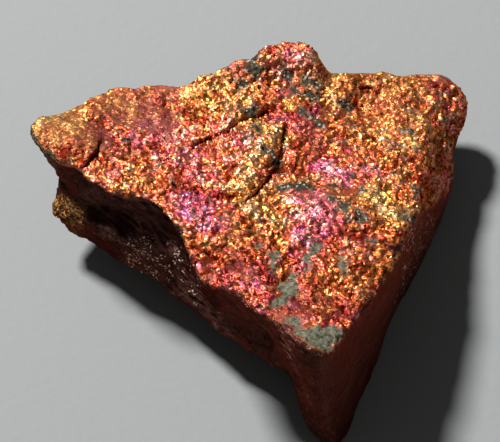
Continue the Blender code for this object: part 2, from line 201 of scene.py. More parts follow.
# The bake's map is laid out while the skin is still smooth, so that it has few, large parts.
bpy.context.view_layer.objects.active = ore
ore.select_set(True)
skin.uv_layers.active = skin.uv_layers.new(name="OFBake")
bpy.ops.object.mode_set(mode="EDIT")
bpy.ops.mesh.select_all(action="SELECT")
bpy.ops.uv.smart_project(angle_limit=MAP_BEND, island_margin=MAP_MARGIN, scale_to_bounds=True)
bpy.ops.object.mode_set(mode="OBJECT")

# What grows where on the fracture face
# Copper ore of several tarnishes, with grey green gangue between its grains. Each row is a
# streak in plan, in millimetres: both its ends and how far it reaches to either side.
GANGUE = [
    (-0.7, 20.3, 0.2, 19.0, 0.9),
    (-1.9, 17.4, -1.2, 17.0, 0.6),
    (3.7, 18.6, 4.9, 18.2, 0.8),
    (5.1, 17.6, 6.6, 17.0, 0.9),
    (4.2, 16.5, 5.3, 16.2, 0.7),
    (6.0, 16.2, 6.9, 16.1, 0.7),
    (-1.3, 13.2, -0.3, 13.0, 0.6),
    (-0.2, 10.7, 0.4, 9.9, 0.5),
    (5.4, 13.2, 6.9, 12.6, 0.7),
    (1.7, 6.3, 2.1, 5.2, 0.45),
    (3.0, 1.6, 4.7, 1.5, 0.9),
    (5.5, 2.1, 6.1, 1.8, 0.6),
    (8.2, 2.2, 8.6, 1.9, 0.55),
    (10.4, 3.9, 10.6, 3.6, 0.45),
    (11.4, 1.6, 11.7, 1.3, 0.45),
    (8.5, -0.7, 9.3, -1.7, 0.8),
    (11.0, -2.6, 11.6, -3.3, 0.7),
    (9.5, -3.2, 9.9, -3.3, 0.4),
    (12.2, -5.8, 12.5, -5.9, 0.35),
    (8.8, -9.9, 9.6, -11.6, 0.4),
    (9.6, -14.3, 9.7, -14.6, 0.3),
    (0.3, -7.2, 0.7, -7.8, 0.35),
    (2.0, -8.9, 1.9, -11.2, 0.6),
    (3.7, -12.0, 2.6, -15.6, 0.75),
    (6.3, -6.8, 5.5, -9.4, 0.65),
    (5.6, -10.3, 5.4, -11.0, 0.35),
    (3.4, -18.2, 4.4, -20.8, 0.8),
    (5.4, -20.5, 7.6, -19.3, 1.1),
    (4.6, -21.7, 7.4, -21.9, 0.9),
    (6.7, -18.9, 7.2, -20.9, 1.0),
    (4.2, -20.5, 5.0, -21.2, 0.6),
    (16.6, 11.6, 17.1, 11.4, 0.4),
    (17.7, 8.8, 18.4, 8.6, 0.5),
    (10.0, 16.3, 10.7, 15.1, 0.5),
    (17.0, 2.3, 17.6, 1.9, 0.35),
    (16.2, -1.9, 16.9, -2.4, 0.6),
]
# Tarnish from gold (0) over copper (0.45) and crimson (0.7) to violet (1), and its weight.
TARNISH = [
    (-23.6, 10.1, -20.7, 9.7, 1.8, 0.04, 1.2),
    (-21.1, 8.4, -18.0, 7.7, 2.0, 0.2, 1.0),
    (-17.8, 15.0, -14.3, 14.0, 2.4, 0.18, 0.9),
    (-15.2, 12.7, -11.0, 11.7, 2.4, 0.62, 0.7),
    (-12.9, 15.7, -10.1, 15.6, 1.6, 0.55, 0.6),
    (-17.5, 8.9, -16.4, 8.2, 0.9, 0.84, 1.2),
    (-16.1, 7.5, -15.1, 6.3, 0.8, 0.78, 0.8),
    (-20.0, 5.4, -17.3, 4.5, 1.6, 0.42, 0.9),
    (-12.3, 8.9, -9.4, 11.4, 1.5, 0.66, 0.8),
    (-9.3, 6.7, -6.0, 4.4, 2.6, 0.6, 0.7),
    (-7.1, 6.4, -5.4, 2.5, 1.6, 0.66, 0.7),
    (-9.2, 3.3, -6.5, 3.3, 1.2, 0.7, 0.5),
    (-7.6, -0.9, -6.7, -2.6, 1.3, 0.88, 1.0),
    (-6.4, -4.3, -5.6, -5.8, 1.2, 0.88, 1.0),
    (-5.0, -3.6, -4.0, -5.4, 1.2, 0.76, 1.0),
    (-5.9, -1.3, -3.2, -2.0, 1.2, 0.68, 0.7),
    (-5.6, 17.1, -1.9, 14.2, 3.0, 0.16, 0.8),
    (-5.6, 13.5, -2.8, 11.8, 1.6, 0.4, 0.5),
    (-3.3, 10.6, -1.1, 7.9, 1.5, 0.7, 0.7),
    (-5.5, 8.5, -3.3, 6.2, 1.6, 0.42, 0.6),
    (-1.2, 0.3, 0.7, -2.9, 1.6, 0.12, 1.0),
    (-1.6, -5.2, 0.7, -5.3, 1.4, 0.3, 0.8),
    (0.3, -4.0, 0.8, -4.7, 0.6, 0.8, 1.0),
    (0.7, -5.3, 2.1, -5.8, 1.2, 0.27, 0.8),
    (-6.0, -6.5, -4.0, -7.1, 1.3, 0.27, 0.8),
    (-5.7, -8.6, -4.3, -9.1, 1.0, 0.3, 0.6),
    (1.1, 10.4, 2.7, 8.8, 1.1, 0.02, 2.0),
    (0.9, 7.0, -1.7, 0.8, 0.9, 0.18, 0.9),
    (3.9, 15.4, 4.8, 14.6, 0.7, 0.0, 2.0),
    (1.9, 12.6, 5.0, 11.5, 1.2, 0.74, 1.0),
    (5.0, 14.8, 6.4, 14.0, 0.8, 0.78, 1.0),
    (2.8, 16.2, 3.9, 15.7, 0.7, 0.76, 1.0),
    (1.5, 25.7, 5.1, 21.1, 2.2, 0.56, 0.7),
    (5.1, 20.5, 6.5, 19.9, 1.6, 0.58, 0.6),
    (-6.3, 20.5, -2.3, 19.4, 1.3, 0.62, 0.8),
    (3.8, 8.2, 7.1, 6.5, 2.2, 0.5, 0.5),
    (3.2, 7.6, 3.8, 2.9, 1.2, 0.42, 0.6),
    (8.0, 19.2, 16.4, 20.0, 2.4, 0.16, 0.9),
    (12.9, 18.0, 13.9, 16.9, 1.0, 0.58, 1.0),
    (14.2, 17.1, 18.0, 13.7, 2.6, 0.28, 0.9),
    (10.2, 12.8, 16.1, 9.9, 2.6, 0.24, 0.9),
    (19.0, 16.8, 19.3, 12.5, 1.4, 0.2, 0.9),
    (17.6, 10.4, 18.4, 7.5, 1.6, 0.24, 0.8),
    (12.4, 7.3, 15.9, 6.8, 2.0, 0.45, 0.5),
    (7.5, 5.5, 9.7, 3.6, 1.3, 0.8, 1.0),
    (11.7, 5.5, 12.7, 5.0, 0.7, 0.78, 1.0),
    (8.9, 1.5, 10.5, 1.0, 1.3, 0.45, 1.0),
    (5.0, 0.3, 7.6, -0.1, 1.0, 0.72, 1.0),
    (4.8, -1.7, 5.8, -3.0, 1.3, 0.6, 0.9),
    (6.4, -1.1, 7.3, -3.9, 1.3, 0.86, 1.0),
    (5.0, -5.2, 6.0, -6.5, 1.0, 0.9, 1.0),
    (4.3, -6.3, 5.3, -7.7, 1.4, 0.7, 0.7),
    (4.7, -8.7, 4.6, -10.9, 1.2, 0.76, 0.6),
    (12.9, 0.5, 14.6, -1.3, 1.6, 0.0, 1.8),
    (13.7, -2.3, 15.3, -4.4, 1.6, 0.32, 0.7),
    (12.6, -8.3, 14.6, -8.8, 1.3, 0.25, 1.0),
    (9.4, -4.8, 12.3, -4.9, 1.4, 0.48, 0.7),
    (7.3, -6.3, 11.0, -7.7, 1.8, 0.52, 0.6),
    (8.7, -12.5, 12.1, -10.5, 2.0, 0.36, 0.7),
    (2.5, -10.7, 3.3, -12.7, 0.35, 0.2, 1.0),
    (6.6, -13.7, 9.2, -14.9, 2.4, 0.42, 0.7),
    (4.3, -15.1, 5.1, -17.8, 1.0, 0.68, 0.8),
    (4.4, -18.2, 4.8, -19.5, 0.6, 0.55, 1.0),
    (-3.1, -12.9, 0.7, -15.7, 2.6, 0.60, 0.8),
    (-1.8, -13.6, -0.6, -12.2, 1.4, 0.72, 0.6),
    (1.0, -10.1, 0.7, -14.3, 1.2, 0.56, 0.8),
    (8.1, -17.5, 9.6, -16.3, 1.6, 0.64, 0.7),
    (15.9, 5.9, 18.6, 4.2, 1.8, 0.4, 0.6),
    (20.5, 17.7, 22.7, 15.2, 2.6, 0.52, 0.8),
    (19.4, 7.8, 21.8, 8.1, 2.0, 0.6, 0.8),
    (-4.7, -9.5, -1.6, -10.5, 1.4, 0.55, 0.7),
    (-17.7, 1.5, -13.4, 0.1, 1.6, 0.44, 0.6),
    (-13.6, 4.7, -10.2, 1.6, 2.4, 0.38, 0.6),
    (-17.3, 3.7, -15.4, 2.9, 1.2, 0.66, 0.6),
]
# Where the grain is too fine to see and the tarnish is matt, and how much so.
MATT = [
    (-21.6, 8.6, -17.8, 7.6, 2.2, 1.0),
    (-22.9, 10.3, -20.0, 11.6, 1.2, 0.5),
    (-23.2, 7.6, -21.1, 5.3, 1.3, 0.9),
    (-15.2, 13.3, -10.8, 12.0, 2.6, 0.9),
    (-12.4, 16.3, -9.8, 16.7, 1.4, 0.7),
    (-6.2, 19.8, -1.7, 20.2, 0.9, 0.9),
    (6.6, 25.6, 7.5, 23.1, 0.8, 0.9),
    (8.9, 1.5, 10.5, 1.0, 1.2, 0.8),
    (5.0, 0.3, 7.8, -0.1, 0.9, 0.8),
    (-1.9, -10.7, -0.9, -12.1, 1.0, 0.9),
    (15.9, -1.6, 17.0, -2.4, 0.9, 0.8),
    (1.5, -16.5, 2.4, -17.4, 0.9, 0.9),
    (4.2, -13.7, 5.1, -17.8, 0.9, 0.7),
    (3.0, -14.7, 3.9, -15.5, 0.7, 0.8),
    (14.7, 16.7, 17.6, 13.6, 2.0, 0.35),
    (8.0, 19.4, 19.0, 19.6, 1.8, 0.27),
    (13.0, 13.6, 19.2, 11.0, 2.2, 0.27),
    (-3.1, -4.8, -2.4, -6.3, 0.9, 0.6),
    (7.9, -3.9, 9.3, -5.4, 1.0, 0.4),
    (6.6, -15.1, 7.2, -16.7, 1.0, 0.5),
    (5.3, 10.7, 8.3, 10.8, 0.8, 0.4),
]
# Painted shade: hollows and other places darkened as if they lay in shade, and how dark they are.
SHADED_PLACES = [
    (12.1, 18.5, 13.8, 18.1, 0.35, 0.7),
    (11.6, 16.4, 12.5, 14.6, 1.0, 0.6),
    (-21.6, 5.0, -18.2, 4.6, 1.7, 1.0),
    (-7.9, 17.9, -6.9, 17.6, 0.9, 0.45),
    (-18.4, 5.7, -17.0, 4.9, 1.0, 0.6),
    (-1.3, 13.8, -0.1, 12.5, 0.8, 0.7),
    (0.2, 13.3, 1.9, 11.6, 1.0, 0.8),
    (3.7, 18.4, 6.9, 16.1, 2.0, 0.45),
    (1.5, 19.7, 5.1, 19.3, 1.6, 0.35),
    (5.4, 13.3, 7.2, 12.0, 1.0, 0.5),
    (3.0, 1.9, 4.8, 0.7, 1.0, 0.5),
    (8.6, -0.6, 9.9, -1.9, 0.9, 0.45),
    (13.7, 2.6, 14.6, 2.1, 0.7, 0.8),
    (14.0, -6.7, 15.8, -6.5, 0.9, 1.0),
    (15.4, -5.4, 16.6, -3.9, 0.8, 0.8),
    (8.7, -5.1, 10.7, -5.9, 0.8, 0.6),
    (8.8, -9.9, 9.8, -11.5, 0.9, 0.4),
    (-6.2, -7.6, -1.6, -10.5, 1.4, 0.5),
    (-4.7, -10.5, -2.4, -12.2, 1.6, 0.45),
    (-8.9, 1.0, -6.3, 0.2, 1.0, 0.5),
    (-5.4, 3.3, -4.3, 2.3, 1.0, 0.4),
    (20.7, 19.2, 22.8, 14.3, 2.2, 0.6),
    (19.9, 10.5, 20.9, 9.3, 1.4, 0.4),
    (20.2, 7.8, 21.4, 1.6, 1.6, 0.5),
    (19.0, 2.2, 20.0, 3.6, 1.2, 0.5),
    (-23.4, 8.9, -18.6, 7.0, 3.2, 0.48),
    (-20.8, 4.3, -16.6, 1.1, 0.9, 0.5),
    (-16.6, 1.1, -10.7, -1.4, 0.8, 0.4),
    (-6.2, -11.0, -1.1, -15.2, 1.1, 0.5),
    (-1.1, -15.2, 3.4, -19.6, 1.0, 0.45),
    (-15.5, 6.5, -11.0, 4.5, 2.2, 0.35),
    (9.4, 16.4, 10.9, 14.0, 1.2, 0.3),
    (7.0, 10.6, 9.9, 10.0, 0.9, 0.55),
    (5.6, 12.1, 7.2, 11.3, 0.9, 0.4),
    (15.0, 8.7, 16.9, 8.4, 0.8, 0.5),
    (-22.8, 6.0, -21.6, 4.4, 1.0, 0.6),
    (5.2, -20.5, 6.9, -21.6, 0.6, 0.4),
    (7.5, -19.3, 9.6, -17.7, 1.0, 0.35),
]
# Where many grains are bare and pale, and how many.
BARE = [
    (-22.7, 10.5, -20.3, 10.1, 1.6, 0.5),
    (-7.3, 6.8, -5.4, 2.8, 1.8, 0.7),
    (-9.3, 8.0, -8.0, 8.4, 1.2, 0.5),
    (-8.0, 6.7, -7.3, 7.1, 0.8, 0.7),
    (-1.7, 16.7, -0.6, 14.9, 1.4, 0.5),
    (-5.6, 16.8, -2.5, 13.6, 2.4, 0.35),
    (-4.0, -8.5, -0.4, -14.5, 2.2, 0.3),
    (1.2, 10.4, 2.9, 8.7, 1.0, 0.9),
    (0.9, 7.0, -1.7, 0.8, 0.9, 0.8),
    (-2.2, 9.7, -1.0, 8.3, 1.0, 0.4),
    (1.5, 20.9, 2.8, 21.6, 1.2, 0.6),
    (1.5, 24.0, 5.5, 18.5, 2.4, 0.35),
    (4.2, 20.7, 4.7, 20.5, 0.5, 1.0),
    (6.6, 15.1, 7.1, 14.8, 0.5, 1.0),
    (10.2, 15.3, 10.9, 13.5, 0.9, 0.6),
    (-1.0, 0.3, 0.7, -2.6, 1.2, 0.6),
    (-6.6, -3.8, -5.6, -5.8, 0.8, 0.8),
    (-0.6, 3.9, 0.7, 2.5, 1.4, 0.4),
    (4.6, -0.7, 6.6, -3.4, 1.5, 0.7),
    (7.6, 5.3, 9.4, 3.5, 1.1, 0.7),
    (13.0, 5.3, 13.8, 3.7, 0.8, 0.5),
    (13.0, 0.7, 14.6, -1.3, 1.3, 0.8),
    (11.1, 2.6, 12.2, 2.8, 0.6, 0.7),
    (9.1, -1.1, 9.9, -1.6, 0.4, 0.7),
    (10.6, -2.0, 11.1, -2.6, 0.6, 0.5),
    (4.7, -6.8, 5.9, -8.1, 1.0, 0.5),
    (9.4, -6.5, 10.1, -7.9, 0.9, 0.4),
    (14.0, 12.7, 16.1, 9.4, 1.6, 0.35),
    (18.9, 16.2, 19.1, 12.4, 0.9, 0.4),
    (12.0, -7.5, 13.4, -9.0, 1.0, 0.4),
    (-17.1, 2.5, -15.5, 0.6, 1.0, 0.4),
]
# Where grains have broken away at the rim, and where gold tarnish or grey green lies on the wall.
BROKEN = [
    (14.2, -6.9, 16.8, -6.9, 0.75),
    (1.7, -18.0, 2.7, -19.3, 0.5),
    (2.7, -19.3, 3.9, -21.3, 0.55),
    (3.9, -21.3, 5.2, -22.4, 0.6),
    (5.2, -22.4, 6.6, -22.7, 0.5),
    (-24.6, 8.4, -23.3, 6.2, 0.6),
    (-23.3, 6.2, -21.9, 4.7, 0.7),
]
GOLD_WALL = [
    (-22.3, 4.6, -21.2, 3.8, 1.0, 0.9),
    (-21.2, 3.8, -19.2, 2.2, 0.8, 0.45),
]
GREEN_WALL = [
    (-24.6, 8.6, -22.6, 5.4, 1.3, 1.0),
]
# Where the wall is painted lighter, as bounced light in the hollow under the rim, and where painted
# shade darkens its ledges.
BOUNCE_LIT_WALL = [
    (-16.5, 3.6, -9.3, -1.8, 2.0, 1.0),
]
SHADED_LEDGES = [
    (-18.4, 1.2, -15.6, -0.9, 1.3, 0.75),
    (-8.4, -5.2, -4.6, -9.6, 1.1, 0.75),
]
# The rim at the back, where the grain is fine and nothing stands out.
CALM_RIM = [
    (-24.4, 9.6, -18.3, 13.6, 1.0),
    (-18.3, 13.6, -15.1, 16.3, 1.0),
    (-15.1, 16.3, -6.8, 17.3, 1.0),
    (15.0, 21.2, 22.7, 20.7, 1.0),
    (6.0, 20.6, 15.0, 21.2, 0.8),
]
PLAIN_TARNISH = 0.45
PLAIN_WEIGHT = 0.3
# Patches have ragged edges: the plan is pushed about this far by noise of these sizes.
RAGGED = ((1.6, 0.7), (0.6, 0.35))
# A patch is whole up to the first share of its reach, and has faded out at the second.
PATCH_EDGE = (0.75, 1.25)
# How deep under the face there is grain, and how much deeper over the right slope.
GRAIN_DEPTH = 1.3
DEEPER_AT_RIGHT = 5.0
# How level the skin has to be to show grain, and how much less so at the right and the back.
LEVEL_ENOUGH = 0.48
LESS_AT_RIGHT = 0.28
LESS_AT_BACK = 0.25


def noise_at(points, size, start=0.0):
    """Smooth noise from -1 to 1, with lumps of that size. Each use has its own start."""
    return np.array([noise.noise(place) for place in points / size + start])


def patch(plan, rows):
    """How much of each point the streaks cover, from 0 to 1."""
    cover = np.zeros(len(plan))
    for row in rows:
        strength = row[5] if len(row) > 5 else 1.0
        away = from_streak(plan, row[0:2], row[2:4], row[4])
        cover = np.maximum(cover, strength * ramp(-away, -PATCH_EDGE[1], -PATCH_EDGE[0]))
    return cover


def fading(plan, row):
    """1 on the middle line of a row's streak, fading to all sides with its reach."""
    return np.exp(-(from_streak(plan, row[0:2], row[2:4], row[4]) ** 2))


def spread(values, rounds):
    """Mixes the values of each point with its neighbours' a few times."""
    count = np.bincount(edges.ravel(), minlength=len(values)) + 1.0
    for _ in range(rounds):
        total = values.copy()
        for near, far in ((0, 1), (1, 0)):
            total += np.stack(
                [
                    np.bincount(edges[:, near], column[edges[:, far]], len(values))
                    for column in values.T
                ],
                axis=1,
            )
        values = total / count[:, None]
    return values


points = read_points(skin)
edges = read_edges(skin)
normals = spread(read_normals(skin), 3)
normals /= np.linalg.norm(normals, axis=1)[:, None]
broad = spread(normals, 10)
broad /= np.linalg.norm(broad, axis=1)[:, None]
plan = points[:, :2].copy()
for size, reach in RAGGED:
    plan[:, 0] += reach * noise_at(points, size, 3.7)
    plan[:, 1] += reach * noise_at(points, size, 11.3)
depth = under_face(points)
wobble = noise_at(points, 0.9, 5.1)
right_slope = ramp(points[:, 0] - 0.25 * points[:, 1], 8.0, 15.0)
deepest = GRAIN_DEPTH + DEEPER_AT_RIGHT * right_slope
# Over the right slope and round the hump the grain goes on down the steeper part.
at_right = ramp(points[:, 0], 15.5, 18.5) * ramp(points[:, 1], -6.5, -3.5)
at_back = ramp(points[:, 1], 12.0, 15.0) * ramp(-points[:, 0], -17.0, -14.0)
slope_limit = LEVEL_ENOUGH - LESS_AT_RIGHT * at_right - LESS_AT_BACK * at_back
on_face = ramp(broad[:, 2] + 0.16 * wobble - slope_limit, -0.10, 0.10)
on_face *= ramp(deepest + 0.4 * wobble - depth, -0.5, 0.5)
on_face *= 1.0 - patch(plan, BROKEN)
calm = patch(plan, CALM_RIM)
gangue_near = patch(plan, GANGUE) * on_face
matt = patch(plan, MATT) * on_face
# Painted shade: hollows and other shaded places, darkened in the finish.
painted_shade = patch(plan, SHADED_PLACES)
bare = patch(plan, BARE) * on_face
weight = np.full(len(points), PLAIN_WEIGHT)
tarnish = weight * PLAIN_TARNISH
for row in TARNISH:
    share = row[6] * fading(plan, row)
    weight += share
    tarnish += share * row[5]
tarnish /= weight

# The crystal grain
# Massive ore breaks along its grains: each shows a flat facet of its own slope, with a gap
# round it that the finish paints dark, as shade. The facets are cut into the skin, and each face of
# it knows its grain.
GRAIN_STEP = 0.72
# Where less of the grain than this is left, there is none.
LEAST_GRAIN = 0.02
FACET_SLOPE = 0.42
FACET_LIFT = 0.10
FACET_LIMIT = 0.20
GAP_DEPTH = 0.12
GAP_WIDTH = 0.12
LUMPS = ((2.8, 0.17), (1.3, 0.16))
# A grain is gangue, or crystal, where its place's share passes a draw between these.
GANGUE_DRAW = (0.25, 0.85)
CRYSTAL_DRAW = (0.1, 0.9)
# Gangue is sparser at the back and lies a little lower than the metal.
SPARSER_GANGUE = 0.28
GANGUE_SUNK = 0.10
# How much weaker grain, lumps and folds are where the face is matt or calm.
QUIET_GRAIN = 0.8
QUIET_LUMPS = 0.5
QUIET_FOLDS = 0.7
# Ridges and valleys of the face: a streak in plan, its reach, and how high or deep it is.
RIDGES = [
    (2.7, 10.4, 1.6, 6.6, 1.2, 0.15),
    (1.2, 6.6, -1.0, 1.7, 1.2, 0.15),
    (-6.6, 14.8, -1.7, 12.0, 1.3, 0.4),
    (-8.4, 6.2, -6.5, 8.0, 0.9, 0.3),
    (-7.9, 4.0, -4.9, 2.0, 1.0, 0.3),
    (3.9, -0.9, 7.1, -2.7, 1.3, 0.45),
    (4.7, -5.3, 4.3, -7.0, 0.8, 0.3),
    (7.4, 7.1, 9.5, 4.3, 1.0, 0.35),
    (12.6, 1.0, 14.7, -0.6, 1.2, 0.4),
    (10.1, -2.8, 11.4, -1.0, 0.7, 0.3),
    (8.0, -0.5, 9.0, -1.5, 0.6, 0.25),
    (15.7, 13.2, 18.3, 8.9, 1.2, 0.3),
    (12.9, 8.2, 15.7, 7.0, 1.0, 0.25),
    (-0.6, -0.6, 0.7, -2.6, 0.9, 0.3),
    (-12.3, 1.5, -9.1, 0.3, 1.0, 0.3),
    (-11.6, 4.9, -9.1, 6.7, 0.8, 0.25),
    (5.1, -10.2, 5.8, -14.4, 1.0, 0.3),
    (10.3, -10.2, 13.5, -9.0, 0.9, 0.3),
    (-2.7, -4.7, -1.1, -5.7, 0.9, 0.25),
    (-7.2, -7.0, -6.2, -8.9, 0.8, 0.25),
    (8.5, 17.7, 10.2, 16.4, 0.9, 0.3),
    (5.1, 15.3, 6.5, 14.4, 0.7, 0.3),
    (1.1, 20.7, 5.1, 20.5, 1.2, 0.35),
]
# Valleys are also painted a deeper red in the finish, as shade.
VALLEYS = [
    (-6.6, 12.7, -5.4, 11.9, 0.4, 0.25),
    (-1.0, 12.3, 1.7, 14.0, 0.8, 0.25),
    (-7.9, 1.7, -5.9, 0.3, 0.5, 0.15),
    (-5.9, 0.3, -1.6, -0.5, 0.5, 0.15),
    (7.5, 12.8, 10.1, 10.3, 0.5, 0.3),
    (11.7, 16.7, 11.9, 13.3, 0.9, 0.15),
    (12.2, 18.8, 13.9, 18.1, 0.5, 0.12),
    (8.9, -5.0, 11.2, -5.9, 0.5, 0.25),
    (8.1, -6.4, 9.4, -4.8, 0.4, 0.25),
    (3.1, 14.7, 4.8, 12.2, 0.7, 0.25),
    (-12.6, 7.0, -10.6, 7.5, 0.5, 0.25),
    (-15.6, 8.2, -14.7, 6.7, 0.5, 0.25),
    (-14.7, 5.3, -12.2, 4.2, 0.5, 0.25),
    (-4.5, -9.7, -1.6, -11.1, 0.7, 0.2),
    (-5.8, -8.3, -4.3, -10.0, 0.6, 0.2),
    (4.5, -15.0, 9.1, -15.9, 0.8, 0.25),
    (7.7, -12.5, 9.7, -14.4, 0.6, 0.25),
    (13.7, -4.0, 15.7, -5.2, 0.7, 0.3),
    (17.4, 3.4, 19.6, 4.0, 0.9, 0.3),
    (14.3, -6.9, 16.6, -6.7, 0.7, 0.6),
    (16.0, 8.4, 18.7, 6.4, 0.5, 0.2),
    (2.7, 4.4, 4.9, 5.5, 0.6, 0.2),
    (3.6, 9.0, 4.9, 7.6, 0.5, 0.2),
    (-3.4, 3.2, -1.6, 4.9, 0.4, 0.2),
]
# Long folds of the fracture run this way in plan, this long and this wide.
FOLD_WAY = np.array([0.48, 0.877, 0.0])
FOLD_SIZE = (5.0, 1.7)
FOLD_HEIGHT = 0.22
FOLD_SHADE = 0.35


def drawn_out(points, way, length, width):
    """Places squeezed along a way, so that noise there runs on in streaks of that size."""
    along = points @ way
    return points / width + (along / length - along / width)[:, None] * way


grainy = np.flatnonzero(on_face > LEAST_GRAIN)
shuffled = dice.permutation(grainy)
places = np.floor(points[shuffled] / GRAIN_STEP).astype(int)
_, chosen = np.unique(places, axis=0, return_index=True)
seeds = points[shuffled[chosen]]
slopes = dice.normal(0.0, FACET_SLOPE, seeds.shape)
lifts = dice.uniform(-FACET_LIFT, FACET_LIFT, len(seeds))
tones = dice.uniform(0.0, 1.0, len(seeds))
hues = dice.normal(0.0, 1.0, len(seeds))
sparse = SPARSER_GANGUE * ramp(seeds[:, 1], 14.0, 17.0)
seed_gangue = gangue_near[shuffled[chosen]] > dice.uniform(*GANGUE_DRAW, len(seeds)) + sparse
seed_crystal = on_face[shuffled[chosen]] > dice.uniform(*CRYSTAL_DRAW, len(seeds))
tree = kdtree.KDTree(len(seeds))
for number, seed in enumerate(seeds):
    tree.insert(seed, number)
tree.balance()
grain = np.zeros(len(points), dtype=int)
gap = np.zeros(len(points))
rise = np.zeros(len(points))
for number in grainy:
    (_, first, near), (_, second, far) = tree.find_n(points[number], 2)
    grain[number] = first
    facet = np.clip((points[number] - seeds[first]) @ slopes[first], -FACET_LIMIT, FACET_LIMIT)
    gap[number] = math.exp(-(((far - near) / GAP_WIDTH) ** 2))
    rise[number] = facet + lifts[first]
# The rim is ragged, because each grain there is either held or broken away whole.
on_face = np.where(on_face > LEAST_GRAIN, seed_crystal[grain], 0.0)
on_face = spread(on_face[:, None], 1)[:, 0]
gangue = seed_gangue[grain] * on_face
smooth_gangue = gangue * ramp(gangue_near, 0.6, 0.95)
quiet = np.maximum(matt, calm)
coarse = on_face * (1.0 - QUIET_GRAIN * quiet) * (1.0 - 0.5 * smooth_gangue)
relief = coarse * (rise - GAP_DEPTH * gap)
for size, height in LUMPS:
    lumps = height * noise_at(points, size, 17.9)
    relief += on_face * (1.0 - QUIET_LUMPS * quiet) * lumps
relief -= GANGUE_SUNK * gangue
folded = drawn_out(points, FOLD_WAY, *FOLD_SIZE)
folds = 1.0 - 2.0 * np.abs(noise_at(folded, 1.0, 61.9))
relief += on_face * (1.0 - QUIET_FOLDS * quiet) * FOLD_HEIGHT * (folds - 0.5)
# Low folds are painted a deeper red, as shade, and so are the valleys.
valley_shade = FOLD_SHADE * ramp(-folds, -0.75, 0.0) * (1.0 - matt)
for row in RIDGES:
    relief += on_face * row[5] * fading(plan, row)
for row in VALLEYS:
    share = fading(plan, row)
    relief -= on_face * row[5] * share
    valley_shade = np.maximum(valley_shade, share)

# The cracks and ledges of the fracture face
# Fine breaks that run across the face: each row is a crack's width and its points in plan. At
# the first four the stone to the upper left stands higher, by what STEPS says.
CRACKS = [
    (
        0.28,
        (-6.8, 7.0),
        (-6.0, 8.2),
        (-4.6, 9.1),
        (-3.1, 9.8),
        (-2.0, 11.0),
        (-1.0, 11.7),
        (0.3, 12.7),
        (1.7, 13.6),
    ),
    (
        0.26,
        (3.2, 10.7),
        (3.1, 9.8),
        (2.7, 8.5),
        (2.6, 7.4),
        (2.5, 6.5),
        (2.3, 4.7),
        (1.8, 3.6),
        (1.1, 2.2),
        (0.5, 1.2),
        (-0.3, 0.0),
        (-1.0, -1.2),
    ),
    (
        0.26,
        (-8.9, 1.1),
        (-7.8, 0.7),
        (-6.8, 0.3),
        (-5.6, 0.0),
        (-4.4, -0.2),
        (-3.0, -0.1),
        (-1.8, -0.5),
    ),
    (0.28, (-18.4, 3.3), (-17.7, 4.5), (-17.0, 5.7), (-16.9, 6.9)),
    (0.16, (-3.3, 8.7), (-2.2, 10.4)),
    (0.2, (-5.3, 12.2), (-5.8, 10.4)),
    (0.12, (2.7, 6.6), (1.4, 3.8)),
    (0.22, (7.2, 10.0), (9.0, 9.7), (10.1, 10.4)),
    (0.16, (12.7, 9.5), (13.5, 8.9), (14.5, 8.4)),
    (0.14, (13.2, 10.9), (13.8, 9.8)),
    (0.22, (12.1, 18.4), (12.9, 18.7), (13.9, 18.5)),
    (0.2, (10.0, -4.4), (10.7, -5.1), (11.7, -5.0)),
    (0.2, (8.1, -8.1), (8.9, -7.8), (9.7, -7.6)),
    (0.22, (11.6, -7.4), (12.7, -7.2)),
    (0.24, (13.3, -7.7), (14.8, -7.9)),
    (0.22, (-4.0, -8.2), (-2.5, -8.1), (-1.7, -8.6), (-0.9, -8.3)),
    (0.3, (-6.2, -8.3), (-4.9, -9.0), (-3.8, -10.1), (-2.7, -10.5), (-1.6, -10.1)),
    (0.18, (-14.3, 3.8), (-13.4, 2.8)),
    (0.14, (-12.3, -0.1), (-11.0, 1.3)),
    (0.18, (10.9, 3.7), (12.7, 3.7)),
    (0.16, (5.0, -4.8), (6.0, -4.3), (7.7, -3.9)),
    (0.14, (5.2, -11.7), (4.6, -9.8)),
]
STEPS = (0.24, 0.44, 0.24, 0.24)
CRACK_DEPTH = 0.42
STEP_DROP = 0.12
STEP_REACH = 0.9
# Cracks waver by this much, in waves of this size, and their cut is narrower than they are.
WAVER = 0.10
WAVER_SIZE = 0.7
CUT_SHARE = 0.45

wavers = [noise_at(points, WAVER_SIZE, start) for start in (23.1, 31.7)]
thread = points[:, :2] + WAVER * np.stack(wavers, axis=1)
crack = np.zeros(len(points))
for number, (width, *line) in enumerate(CRACKS):
    nearest = np.full(len(points), np.inf)
    side = np.zeros(len(points))
    for start, end in zip(line[:-1], line[1:]):
        away = from_streak(thread, start, end, 1.0)
        way = np.subtract(end, start)
        offset = thread - start
        left = way[0] * offset[:, 1] - way[1] * offset[:, 0]
        closer = away < nearest
        nearest = np.where(closer, away, nearest)
        side = np.where(closer, left, side)
    cut = np.exp(-((nearest / (CUT_SHARE * width)) ** 2))
    crack = np.maximum(crack, cut)
    if number < len(STEPS):
        higher = side > 0 if line[-1][0] > line[0][0] else side < 0
        step = np.where(higher, STEPS[number], -STEP_DROP)
        relief += on_face * step * np.exp(-nearest / STEP_REACH)
crack *= on_face
relief -= CRACK_DEPTH * crack

# The broken walls
# The left front wall has split along the bedding, so that fine ribs run along it beside the
# rim. The right front wall is a plain joint face with faint scratches down it.
LEFT_BEDDING = np.array([0.70, -0.71, 0.0])
RIGHT_BEDDING = np.array([0.45, 0.88, -0.15])
